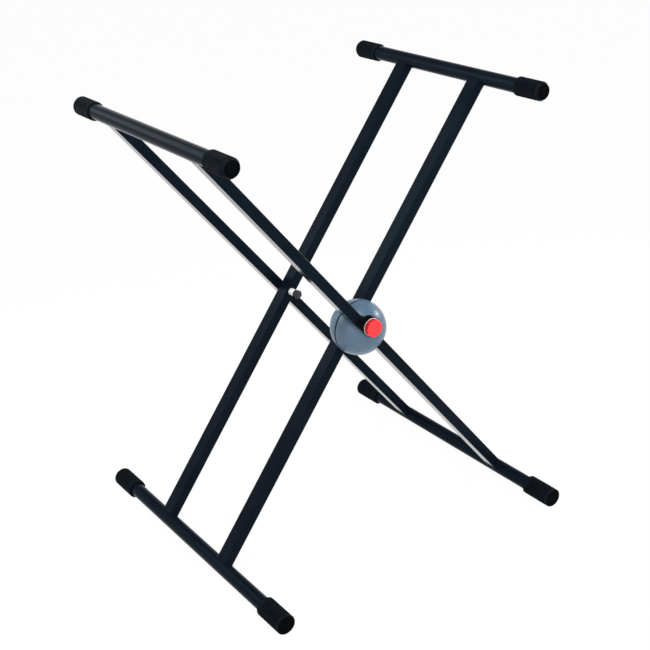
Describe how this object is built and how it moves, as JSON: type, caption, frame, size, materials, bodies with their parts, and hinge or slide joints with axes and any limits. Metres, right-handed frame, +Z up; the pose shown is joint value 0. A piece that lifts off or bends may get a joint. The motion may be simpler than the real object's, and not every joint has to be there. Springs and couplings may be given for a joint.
{
  "type": "folding keyboard stand",
  "caption": "Double-braced X keyboard stand that folds about one pivot axis, with a ball-shaped push-button lock and rubber-capped cross bars.",
  "frame": {"origin": "on the floor under the pivot axis, midway along the cross bars", "axes": "+Z up; Y along the pivot axis and the cross bars, the lock at the -Y end; X along the direction in which the legs spread"},
  "size_m": [0.6728, 0.636, 0.8476],
  "materials": {
    "black_powder_coat": "semi-gloss black powder coat on steel tube",
    "black_rubber": "matt black rubber, ribbed",
    "ball_plastic": "glossy blue-grey moulded plastic",
    "cowl_plastic": "satin black moulded plastic",
    "button_plastic": "glossy red moulded plastic",
    "natural_nylon": "pale natural nylon",
    "black_nylon": "black nylon",
    "zinc_steel": "zinc-plated steel",
    "black_oxide_steel": "black-oxide steel",
    "spring_steel": "bright spring steel"
  },
  "bodies": {
    "frame_a": {"leg_a_front": "black_powder_coat", "leg_a_rear": "black_powder_coat", "support_bar_a": "black_powder_coat", "support_cap_a_front": "black_rubber", "support_cap_a_rear": "black_rubber", "foot_bar_a": "black_powder_coat", "foot_cap_a_front": "black_rubber", "foot_cap_a_rear": "black_rubber", "pivot_bush_front": "natural_nylon", "pivot_bush_rear": "natural_nylon", "ball_shell_rear": "ball_plastic", "shell_screws_rear": "zinc_steel", "toothed_cup": "zinc_steel"},
    "frame_b": {"leg_b_front": "black_powder_coat", "leg_b_rear": "black_powder_coat", "support_bar_b": "black_powder_coat", "support_cap_b_front": "black_rubber", "support_cap_b_rear": "black_rubber", "foot_bar_b": "black_powder_coat", "foot_cap_b_front": "black_rubber", "foot_cap_b_rear": "black_rubber", "pivot_bolt_front": "zinc_steel", "pivot_washer_front": "zinc_steel", "pivot_nut_front": "zinc_steel", "pivot_bolt_rear": "black_oxide_steel", "rear_spacer_washer": "black_nylon", "pivot_sleeve_rear": "natural_nylon", "pivot_nut_rear": "black_oxide_steel", "ball_shell_front": "ball_plastic", "shell_screws_front": "zinc_steel", "lock_plate": "zinc_steel", "lock_spacer": "zinc_steel", "button_cowl": "cowl_plastic", "button_guide_ring": "natural_nylon"},
    "button": {"push_button": "button_plastic", "lock_pin": "zinc_steel", "lock_tooth": "zinc_steel", "button_spring": "spring_steel"}
  },
  "joints": [
    {"name": "fold", "type": "hinge", "parent": "frame_a", "child": "frame_b", "pos_m": [0, 0, 0.42455], "axis": [0, 1, 0], "range_deg": [-50, 71]},
    {"name": "button_press", "type": "slide", "parent": "frame_b", "child": "button", "axis": [0, 1, 0], "range_m": [0, 0.004], "stiffness_N_per_m": 900, "springref_m": -0.006, "deforming": ["button_spring"]}
  ]
}
